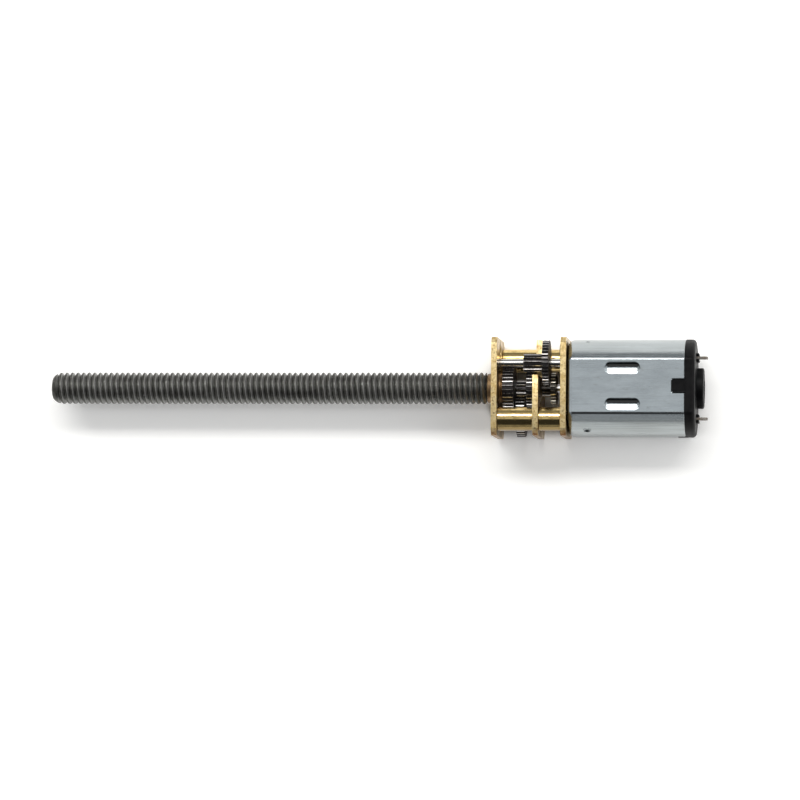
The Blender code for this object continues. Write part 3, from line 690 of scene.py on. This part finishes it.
def floor_paint():
    """Painted light: a pale table that glows faintly from within as fill light, with painted shadow right
    under the object where the glow is left out.
    """
    made = Nodes("floor_matt", 0.0, 0.85, (0.94, 0.937, 0.922))
    cloud = made.noise((0.004, 0.004, 0.004), 2.0, 0.5)
    made.colour(made.mix(made.ramp(cloud, 0.3, 0.7), (0.95, 0.947, 0.932), (0.93, 0.927, 0.912)))
    made.shader.inputs["Specular IOR Level"].default_value = 0.1
    # Painted shadow: the glow is taken away in a patch under the object, reaching wider beside the motor.
    motor = made.maths("MULTIPLY", made.ramp(made.height_over("X"), -2.0, 0.5), -3.5)
    away = made.maths("ADD", made.maths("ABSOLUTE", made.height_over("Y"), 0.0), motor)
    made.shader.inputs["Emission Color"].default_value = (1, 1, 1, 1)
    length = made.height_over("X")
    beside = made.maths("MULTIPLY", made.ramp(length, -57.0, -52.0), made.ramp(length, 22.0, 28.0, 1.0, 0.0))
    under = made.maths("MULTIPLY", beside, made.ramp(away, 0.8, 2.7, 1.0, 0.0))
    made.plug(made.ramp(under, 0.0, 1.0, TABLE_GLOW, 0.0, False), made.shader.inputs["Emission Strength"])
    return made.material


# ---------------------------------------------------------------- plates, pillars and pins
def faces_by_direction(made):
    """Give the faces that look along x the second material."""
    for polygon in made.data.polygons:
        polygon.material_index = 1 if abs(polygon.normal.x) > 0.9 else 0


def build_plates(edge, face):
    bush = place("output_bush")
    pillars = [place("near_pillar_front"), place("far_pillar_front")]
    pins = [("upper_gear_pin", place("upper_gear_pin")), ("lower_gear_pin", place("lower_gear_pin"))]
    pin_holes = [circle(radius_of(name) + 0.03, 36, where) for name, where in pins]
    stakes = [circle(0.83, 40, where) for where in pillars]
    mounting = [circle(HOLE_RADIUS, 40, (y, 0)) for y in HOLE_PLACES]
    tapped = [circle(HOLE_RADIUS + 0.02, 40, (y, 0)) for y in HOLE_PLACES]
    layouts = (
        ("front_plate", plate_outline(), [circle(radius_of("output_bush") + 0.02, 64, bush)] + mounting
         + stakes + pin_holes),
        ("middle_plate", rounded(notched_outline(), 0.1, 2),
         [circle(radius_of("lower_gear_pin") + 0.03, 36, pins[1][1]), circle(0.47, 36)] + stakes),
        ("rear_plate", plate_outline(), [circle(2.03, 64)] + tapped + stakes + pin_holes))
    for node, outline, holes in layouts:
        mesh = prism(outline, *along(node), holes)
        made = piece(f"{node}_look", mesh, [edge, face], node, 0.055)
        faces_by_direction(made)


def build_pillars(material):
    for side in ("near", "far"):
        where = place(f"{side}_pillar_front")
        start, end = along(f"{side}_pillar_front")
        shoulder = along("front_plate")[1] + 0.02
        radius = radius_of(f"{side}_pillar_front")
        front = [(start, 0.5), (start + 0.1, 0.62), (start, 0.74), (start, 0.8), (shoulder, 0.8),
                 (shoulder, radius), (end, radius), (end, 1.0)]
        front = front[:3] + eased(front[3:], 0.05)
        piece(f"{side}_pillar_front_look", turned(front, 72, where), material, f"{side}_pillar_front",
              sharp=25)
        start, end = along(f"{side}_pillar_rear")
        lift, rest = along("middle_plate")[1] + 0.02, along("rear_plate")[0] - 0.02
        rear = [(start, 0.6), (start, 0.8), (lift, 0.8), (lift, radius), (rest, radius), (rest, 0.8),
                (end, 0.8), (end, 0.6)]
        piece(f"{side}_pillar_rear_look", turned(eased(rear, 0.05), 72, where), material,
              f"{side}_pillar_rear", sharp=25)


def build_pins(pin_steel, screw_steel):
    for node in ("upper_gear_pin", "lower_gear_pin"):
        start, end = along(node)
        radius = radius_of(node)
        profile = [(start, radius - 0.16), (start + 0.02, radius - 0.09), (start + 0.09, radius - 0.02),
                   (start + 0.14, radius), (end - 0.1, radius), (end, radius - 0.1)]
        piece(f"{node}_look", turned(profile, 48, place(node)), pin_steel, node, sharp=40)
    for node in ("upper_motor_screw", "lower_motor_screw"):
        start, end = along(node)
        under = start + 0.4
        profile = [(start, 0.95), (start + 0.03, 1.1), (start + 0.12, 1.22), (start + 0.2, 1.25),
                   (under, 1.25), (under, 0.78), (end - 0.2, 0.78), (end, 0.6)]
        head = to_data(turned(profile, 64, place(node)), node)
        y, z = place(node)
        slots = []
        for half in ((0.8, 0.14), (0.14, 0.8)):
            outline = [(y + a * half[0], z + b * half[1]) for a, b in ((1, -1), (1, 1), (-1, 1), (-1, -1))]
            slots.append(to_data(prism(outline, start - 0.1, start + 0.22), "slot"))
        piece(f"{node}_look", cut(head, *slots), screw_steel, node, sharp=30)


def build_bush(material):
    start, end = along("output_bush")
    outer, inner = radius_of("output_bush"), 1.52
    section = [(start + 0.08, inner), (start, inner + 0.08), (start, outer - 0.12),
               (start + 0.04, outer - 0.04), (start + 0.12, outer), (end, outer), (end, inner)]
    piece("output_bush_look", sleeve(section), material, "output_bush", sharp=50)
    start, end = along("output_washer")
    section = [(start, 1.5), (start, 1.81), (start + 0.04, 1.85), (end - 0.04, 1.85), (end, 1.81), (end, 1.5)]
    piece("output_washer_look", sleeve(section), material, "output_washer", sharp=50)


# ---------------------------------------------------------------- the turning pieces
def thread_mesh():
    """A grid whose rows climb one pitch per turn, closed by a rounded tip and the plain journal."""
    mesh = bmesh.new()
    start = along("lead_screw")[0]
    end = along("output_bush")[0] - 0.1
    per_pitch = len(THREAD_SHAPE)
    turns = math.ceil((end - start) / PITCH) + 3
    columns = []
    for step in range(THREAD_STEPS):
        angle = 2 * math.pi * step / THREAD_STEPS
        column = []
        for row in range(turns * per_pitch):
            share, depth = THREAD_SHAPE[row % per_pitch]
            x = start + PITCH * (row // per_pitch - 1.5 + share + step / THREAD_STEPS)
            x = min(max(x, start), end)
            radius = max(THREAD_CREST - depth, THREAD_ROOT)
            inward = 1 - (x - start) / TIP_LENGTH
            if inward > 0:
                radius = min(radius, THREAD_CREST - TIP_DROP * (1 - math.sqrt(1 - inward ** 2)))
            radius = THREAD_ROOT if x >= end else radius
            column.append(mesh.verts.new((x, radius * math.cos(angle), radius * math.sin(angle))))
        columns.append(column)
    for step in range(THREAD_STEPS):
        here, wraps = columns[step], step == THREAD_STEPS - 1
        there = columns[0][per_pitch:] if wraps else columns[step + 1]
        for row in range(len(there) - 1):
            mesh.faces.new((here[row], here[row + 1], there[row + 1], there[row]))
    mesh.faces.new([column[0] for column in columns])
    bmesh.ops.remove_doubles(mesh, verts=mesh.verts, dist=0.0004)
    bmesh.ops.dissolve_degenerate(mesh, edges=mesh.edges, dist=0.0004)
    finish = along("lead_screw")[1]
    profile = [(end - 0.05, 1.50), (end - 0.01, 1.535), (end, 1.50), (end + 0.02, 1.48), (1.12, 1.48),
               (1.12, 1.1), (2.55, 1.1), (2.55, 0.45), (finish - 0.08, 0.45), (finish, 0.37)]
    turned(profile, THREAD_STEPS, mesh=mesh)
    return mesh


def meshed_phase(driver_phase, driver_teeth, teeth, bearing):
    """The turn that puts a gear in mesh with its driver, which lies the other way along bearing."""
    return bearing + math.pi - (driver_teeth * (driver_phase - bearing) + math.pi) / teeth


def bearing_of(where):
    return math.atan2(where[1], where[0])


def tooth_body(mesh, teeth, addendum, phase, start, end, bore, hub=None):
    """Teeth with chamfered tips, a bore, and for a pinion a plain hub that goes on past them."""
    edge = 0.05
    steps = [(start, edge), (start + edge, 0.0), (end - edge, 0.0), (end, edge)]
    rings = [ring(mesh, gear_outline(teeth, addendum, phase, trim), x) for x, trim in steps]
    skin(mesh, *rings)
    finish = hub[1] if hub else end
    bores = [ring(mesh, circle(bore + 0.06, 40), start), ring(mesh, circle(bore, 40), start + 0.06),
             ring(mesh, circle(bore, 40), finish - 0.06), ring(mesh, circle(bore + 0.06, 40), finish)]
    skin(mesh, *bores)
    lid(mesh, rings[0], bores[0])
    if hub:
        hubs = [ring(mesh, circle(hub[0], 48), x) for x in (end, finish)]
        skin(mesh, *hubs)
        lid(mesh, rings[-1], hubs[0])
        lid(mesh, hubs[1], bores[-1])
    else:
        lid(mesh, rings[-1], bores[-1])
    return mesh


def build_gears():
    upper, lower = place("gear_1_pinion"), place("gear_3_pinion")
    up, down = bearing_of(upper), bearing_of(lower)
    dark, bright = (0.085, 0.078, 0.078), (0.46, 0.445, 0.43)
    # node, teeth, addendum, phase, place, bore, hub radius
    layouts = (
        ("output_gear", 38, 0.9, meshed_phase(0, 10, 38, down + math.pi), (0, 0), 1.12, 0),
        ("gear_1_wheel", 36, 0.9, meshed_phase(0, 12, 36, up), upper, 0.78, 0),
        ("gear_2_wheel", 35, 0.9, meshed_phase(0, 13, 35, up + math.pi), (0, 0), 0.63, 0),
        ("gear_3_wheel", 37, 0.9, meshed_phase(0, 11, 37, down), lower, 0.56, 0),
        ("gear_1_pinion", 13, 1.0, 0.0, upper, 0.52, 0.76),
        ("gear_2_pinion", 11, 1.0, 0.0, (0, 0), 0.47, 0.61),
        ("gear_3_pinion", 10, 1.0, 0.0, lower, 0.42, 0.54),
        ("motor_pinion", 12, 1.0, 0.0, (0, 0), 0.52, 0),
        ("pinion_disc", 25, 1.0, 0.0, (0, 0), 0.52, 0))
    face_ends = {"gear_1_pinion": 6.13, "gear_2_pinion": 4.05, "gear_3_pinion": 2.58}
    for node, teeth, addendum, phase, where, bore, hub in layouts:
        start, end = along(node)
        tip = MODULE * (teeth / 2 + addendum)
        if node == "pinion_disc":
            material = gear_metal("disc_brass", where, tip, (0.11, 0.1, 0.085), (0.56, 0.52, 0.44))
        else:
            material = gear_metal(f"{node}_metal", where, tip, dark, bright)
        mesh = tooth_body(bmesh.new(), teeth, addendum, phase, start, face_ends.get(node, end), bore,
                          (hub, end) if hub else None)
        piece(f"{node}_look", offset(mesh, where), material, node, sharp=28)


# ---------------------------------------------------------------- the motor
def closed_stack(levels, points_at):
    """A closed body from levels of (height, outline) stacked along z, with outlines of (x, y) points."""
    mesh = bmesh.new()
    rings = [[mesh.verts.new((x, y, height)) for x, y in outline] for height, outline in levels]
    skin(mesh, *rings)
    mesh.faces.new(rings[0])
    mesh.faces.new(rings[-1])
    bmesh.ops.recalc_face_normals(mesh, faces=mesh.faces)
    mesh.transform(points_at)
    return mesh


def pocket_tool(y, side):
    """A pressed slot: a steep wall at its upper side and a long slope up to its lower side."""
    profile = ((0.3, -0.78, 0.74), (0.0, -0.78, 0.74), (-0.02, -0.72, 0.71), (-0.09, -0.52, 0.66),
               (-0.22, -0.12, 0.60), (-0.30, 0.12, 0.54), (-0.38, 0.18, 0.50), (-0.46, 0.22, 0.44))
    levels = []
    for height, lower, upper in profile:
        width = upper - lower
        levels.append((HALF_HEIGHT + height, stadium(POCKET_LENGTH - 0.5 * (1.52 - width), width,
                                                     (POCKET_X, y + (upper + lower) / 2), 16)))
    turn = Matrix.Scale(side, 4, (0, 0, 1))
    return to_data(closed_stack(levels, turn), "pocket")


def notch_tool(start, end, half, flare, depth, turn):
    """A notch for a tab of the cap, with its edge flared where the sheet was coined."""
    def outline(grow):
        points = [(end, half + grow), (start - grow, half + grow), (start - grow, -half - grow),
                  (end, -half - grow)]
        return rounded(points, 0.12, 3)
    levels = [(HALF_HEIGHT + 0.4, outline(flare)), (HALF_HEIGHT + 0.001, outline(flare)),
              (HALF_HEIGHT - flare, outline(0)), (HALF_HEIGHT - depth, outline(0))]
    return to_data(closed_stack(levels, turn), "notch")


def dimple_tool(x, angle, radius, depth):
    """A round punch mark on an arc of the can."""
    profile = [(-depth, 0.15 * radius), (-0.9 * depth, 0.5 * radius), (-0.35 * depth, 0.84 * radius),
               (0.015, radius), (0.3, radius)]
    mesh = bmesh.new()
    levels = [(HALF_WIDTH + height, circle(reach, 24, (x, 0))) for height, reach in profile]
    rings = [[mesh.verts.new((*point, height)) for point in outline] for height, outline in levels]
    skin(mesh, *rings)
    mesh.faces.new(rings[0])
    mesh.faces.new(rings[-1])
    bmesh.ops.recalc_face_normals(mesh, faces=mesh.faces)
    mesh.transform(Matrix.Rotation(angle, 4, "X"))
    return to_data(mesh, "dimple")


def can_mesh():
    mesh = bmesh.new()
    rear = along("motor_can")[1]
    face = along("rear_plate")[1] + 0.02
    inner_face = face + CAN_WALL
    bend = [math.radians(90 * i / 7) for i in range(8)]
    outer = [ring(mesh, double_d(FRONT_BEND * (1 - math.sin(a))), face + FRONT_BEND * (1 - math.cos(a)))
             for a in bend]
    outer += [ring(mesh, double_d(0), rear - 0.06), ring(mesh, double_d(0.05), rear)]
    inner = [ring(mesh, double_d(CAN_WALL), x) for x in (rear, inner_face)]
    skin(mesh, *outer, *inner)
    holes = [[ring(mesh, circle(HOLE_RADIUS, 36, (y, 0)), x) for x in (face, inner_face)]
             for y in HOLE_PLACES]
    for hole in holes:
        skin(mesh, *hole)
    front = along("motor_can")[0]
    boss = [ring(mesh, circle(radius, 64), x)
            for radius, x in ((2.0, face), (2.0, front + 0.12), (1.88, front))]
    bore = [ring(mesh, circle(1.52, 64), x) for x in (front, inner_face)]
    skin(mesh, *boss, *bore)
    lid(mesh, outer[0], boss[0], *(hole[0] for hole in holes))
    lid(mesh, inner[1], bore[1], *(hole[1] for hole in holes))
    return to_data(mesh, "can")


def build_can(material):
    rear = along("motor_can")[1]
    tools = [pocket_tool(y, side) for side in (1, -1) for y in (POCKET_Y, -POCKET_Y)]
    tools.append(notch_tool(TAB_START, rear + 0.3, TAB_HALF, 0.13, TAB_DEPTH, Matrix.Identity(4)))
    key_turn = Matrix.Rotation(math.radians(90), 4, "X") @ Matrix.Translation((0, 0, 1.0))
    tools.append(notch_tool(TAB_START + KEY_BEHIND, rear + 0.3, TAB_HALF, 0.06, TAB_DEPTH, key_turn))
    tools += [dimple_tool(DIMPLE_X, math.radians(a), 0.34, 0.09) for a in (-66, -114)]
    tools += [dimple_tool(DIMPLE_X, math.radians(a), 0.52, 0.26) for a in (62, 118)]
    piece("motor_can_look", cut(can_mesh(), *tools), material, "motor_can", sharp=38)


def box_body(mesh, low, high, edge):
    """A rounded block between two corners, added to a mesh."""
    x0, y0, z0 = low
    x1, y1, z1 = high
    flat = rounded([(x1, y0), (x1, y1), (x0, y1), (x0, y0)], edge * 2, 3)
    middle = ((x0 + x1) / 2, (y0 + y1) / 2)
    shrink = [1 - edge / (x1 - x0), 1 - edge / (y1 - y0)]
    small = [(middle[0] + (x - middle[0]) * shrink[0], middle[1] + (y - middle[1]) * shrink[1])
             for x, y in flat]
    levels = [(z0, small), (z0 + edge, flat), (z1 - edge, flat), (z1, small)]
    rings = [[mesh.verts.new((x, y, z)) for x, y in outline] for z, outline in levels]
    skin(mesh, *rings)
    mesh.faces.new(rings[0])
    mesh.faces.new(rings[-1])


def build_cap(material):
    mesh = bmesh.new()
    start = along("motor_can")[1] + 0.02
    boss_end = along("end_cap")[1]
    rear = boss_end - 0.93
    corner = 0.45
    bend = [math.radians(90 * i / 6) for i in range(7)]
    plug_start = 22.8
    outside = [ring(mesh, double_d(0.06), start), ring(mesh, double_d(0.0), start + 0.06)]
    outside += [ring(mesh, double_d(corner * (1 - math.cos(a))), rear - corner + corner * math.sin(a))
                for a in bend]
    skin(mesh, *outside)
    plug = [ring(mesh, double_d(CAN_WALL + 0.05), x) for x in (start, plug_start)]
    recess = [ring(mesh, double_d(CAN_WALL + 0.65), x) for x in (plug_start, 23.9)]
    skin(mesh, outside[0], *plug, *recess)
    lid(mesh, recess[-1])
    root, soft = 2.5, 0.22
    boss = [ring(mesh, circle(root + 0.1, 72), rear), ring(mesh, circle(root, 72), rear + 0.1)]
    boss += [ring(mesh, circle(root - soft * (1 - math.cos(a)), 72), boss_end - soft + soft * math.sin(a))
             for a in bend]
    boss += [ring(mesh, circle(1.05, 72), boss_end), ring(mesh, circle(0.95, 72), boss_end - 0.1)]
    skin(mesh, *boss)
    lid(mesh, outside[-1], boss[0])
    mesh.faces.new(boss[-1])
    depth = 0.7
    half = TAB_HALF - 0.02
    box_body(mesh, (TAB_START + 0.02, -half, HALF_HEIGHT - depth),
             (start + 0.3, half, HALF_HEIGHT - 0.01), 0.06)
    box_body(mesh, (TAB_START + KEY_BEHIND + 0.02, 0.01 - HALF_WIDTH, -half),
             (start + 0.3, depth - HALF_WIDTH, half), 0.06)
    for side in (1, -1):
        y = side * abs(place("upper_terminal")[0])
        for shift in (0.36, -0.36):
            box_body(mesh, (rear - 0.2, y + shift - 0.17, -1.0), (rear + 0.34, y + shift + 0.17, 1.0), 0.06)
    piece("end_cap_look", mesh, material, "end_cap", sharp=40)


def build_terminals(material):
    for node in ("upper_terminal", "lower_terminal"):
        start, end = along(node)
        y, z = place(node)
        half_y, half_z = 0.15, 0.8
        outline = [(start, -half_z), (end - 0.4, -half_z), (end - 0.1, -half_z + 0.18), (end, -half_z + 0.4),
                   (end, half_z - 0.4), (end - 0.1, half_z - 0.18), (end - 0.4, half_z), (start, half_z)]
        mesh = bmesh.new()
        sides = [[mesh.verts.new((x, level, z + w)) for x, w in outline]
                 for level in (y - half_y, y + half_y)]
        skin(mesh, *sides)
        for loop in sides:
            mesh.faces.new(loop)
        piece(f"{node}_look", mesh, material, node, 0.035)


# ---------------------------------------------------------------- room, light and camera
def soft_light(name, where, size, power, colour=(1, 1, 1)):
    data = bpy.data.lights.new(name, "AREA")
    data.shape = "RECTANGLE"
    data.size, data.size_y = size
    data.energy = power
    data.color = colour
    made = link(name, data)
    made.location = where
    made.rotation_mode = "QUATERNION"
    made.rotation_quaternion = Vector(where).to_track_quat("Z", "Y")


def build_room():
    mesh = bmesh.new()
    mesh.faces.new([mesh.verts.new((x, y, FLOOR_Z - FLOOR_GAP)) for x, y in circle(FLOOR_REACH, FLOOR_STEPS)])
    data = bpy.data.meshes.new("floor")
    mesh.to_mesh(data)
    mesh.free()
    floor = link("floor", data)
    floor.data.materials.append(floor_paint())

    world = bpy.data.worlds.new("studio")
    bpy.context.scene.world = world
    world.use_nodes = True
    tree = world.node_tree
    background = tree.nodes["Background"]
    direction = tree.nodes.new("ShaderNodeTexCoord").outputs["Generated"]
    split = tree.nodes.new("ShaderNodeSeparateXYZ")
    tree.links.new(direction, split.inputs[0])

    ramp = tree.nodes.new("ShaderNodeValToRGB")
    tree.links.new(shift_to_share(tree, split.outputs["Y"]), ramp.inputs["Fac"])
    stops = ramp.color_ramp.elements
    while len(stops) < len(ROOM_TONES):
        stops.new(0.5)
    for stop, (y, tone) in zip(stops, ROOM_TONES):
        stop.position = (y + 1) / 2
    for stop, (y, tone) in zip(stops, ROOM_TONES):
        stop.color = (tone * 0.98, tone, tone * 1.01, 1)
    sideways = tree.nodes.new("ShaderNodeMath")
    sideways.operation = "ABSOLUTE"
    tree.links.new(split.outputs["X"], sideways.inputs[0])
    share = tree.nodes.new("ShaderNodeMapRange")
    share.inputs["From Min"].default_value, share.inputs["From Max"].default_value = SIDE_BLEND
    tree.links.new(sideways.outputs[0], share.inputs["Value"])
    tones = tree.nodes.new("ShaderNodeMix")
    tones.data_type = "RGBA"
    tree.links.new(share.outputs["Result"], tones.inputs[0])
    tree.links.new(ramp.outputs["Color"], tones.inputs[6])
    tones.inputs[7].default_value = (SIDE_TONE, SIDE_TONE, SIDE_TONE, 1)
    tree.links.new(tones.outputs[2], background.inputs["Color"])
    bpy.context.scene.view_settings.view_transform = "Standard"

    for name, toward, distance, size, power, colour in LIGHTS:
        soft_light(name, Vector(toward).normalized() * distance, size, power, colour)


def shift_to_share(tree, source):
    """Turns a value from -1 to 1 into a share from 0 to 1."""
    node = tree.nodes.new("ShaderNodeMapRange")
    node.inputs["From Min"].default_value = -1
    tree.links.new(source, node.inputs["Value"])
    return node.outputs["Result"]


def turn_matrix(degrees):
    x, y, z = (math.radians(value) for value in degrees)
    return Matrix.Rotation(z, 3, "Z") @ Matrix.Rotation(x, 3, "X") @ Matrix.Rotation(y, 3, "Y")


def build_camera():
    data = bpy.data.cameras.new("camera")
    data.sensor_width = SENSOR
    data.lens = CAMERA_PIXELS / FRAME_PIXELS * SENSOR
    data.clip_start, data.clip_end = 0.01, 20
    made = link("camera", data)
    made.rotation_mode = "QUATERNION"
    made.rotation_quaternion = turn_matrix(CAMERA_TURNS).transposed().to_quaternion()
    made.location = ORIGIN + Vector(CAMERA_PLACE) * MM
    bpy.context.scene.camera = made


# ---------------------------------------------------------------- everything together
def dress(material, *names):
    """Give CAD nodes that stay as they are a better material."""
    for name in names:
        for slot in frame["nodes"][name].material_slots:
            slot.material = material


def main():
    build_camera()
    build_room()
    edge = brass_sheared("plate_cut_edge", (0.86, 0.69, 0.37), (0.52, 0.37, 0.15))
    face = brass_rolled("plate_rolled_face", (0.5, 0.35, 0.15), (0.33, 0.22, 0.09))
    lathe = brass_turned("pillar_turned", (0.72, 0.54, 0.24), (0.42, 0.29, 0.11))
    pin = plain_steel("pin_ground", (0.5, 0.49, 0.475), 0.16)
    dark_steel = plain_steel("screw_blackened", (0.2, 0.2, 0.2), 0.35, 12)
    bush = bronze()
    build_plates(edge, face)
    build_pillars(lathe)
    build_pins(pin, dark_steel)
    build_bush(bush)
    piece("lead_screw_look", thread_mesh(), screw_metal(), "lead_screw", sharp=40)
    build_gears()
    build_can(can_metal())
    build_cap(moulded_plastic())
    build_terminals(tinned())
    dress(bush, "front_bearing", "rear_bearing")
    dress(ferrite(), "upper_magnet", "lower_magnet")
    dress(sheet_copper(), "upper_brush", "lower_brush", "commutator")
    dress(laminated(), "rotor_core")
    dress(wound_copper(), "winding_1", "winding_2", "winding_3")
    dress(pin, "motor_shaft")


main()
